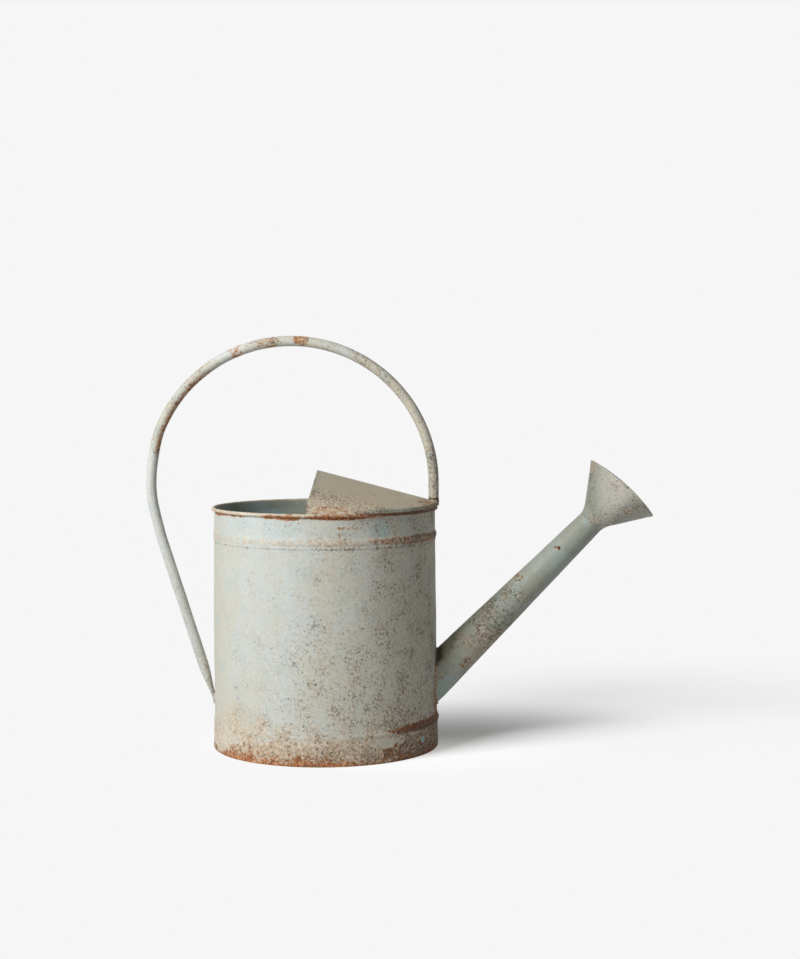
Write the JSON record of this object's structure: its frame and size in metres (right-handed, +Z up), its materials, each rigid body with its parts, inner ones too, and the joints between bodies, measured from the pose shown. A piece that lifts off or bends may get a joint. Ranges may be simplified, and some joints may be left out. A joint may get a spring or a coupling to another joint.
{
  "type": "rusty watering can",
  "caption": "Small painted sheet-steel watering can gone rusty, with a half hood, a hoop handle and a slanting spout with a sprinkling rose.",
  "frame": {"origin": "centre of the ring that the can stands on, at floor height", "axes": "+Z up, +X towards the spout, and the plane y = 0 cuts the can in two equal halves"},
  "size_m": [0.3974, 0.178, 0.32],
  "materials": {
    "body_paint": "matte",
    "base_metal": "matte",
    "hood_paint": "matte",
    "handle_paint": "matte",
    "spout_paint": "matte",
    "rose_paint": "matte"
  },
  "bodies": {
    "root": {"body_wall": "body_paint", "base_plate": "base_metal", "hood": "hood_paint", "handle": "handle_paint", "spout": "spout_paint", "rose_cone": "rose_paint", "rose_face": "rose_paint"}
  },
  "joints": []
}
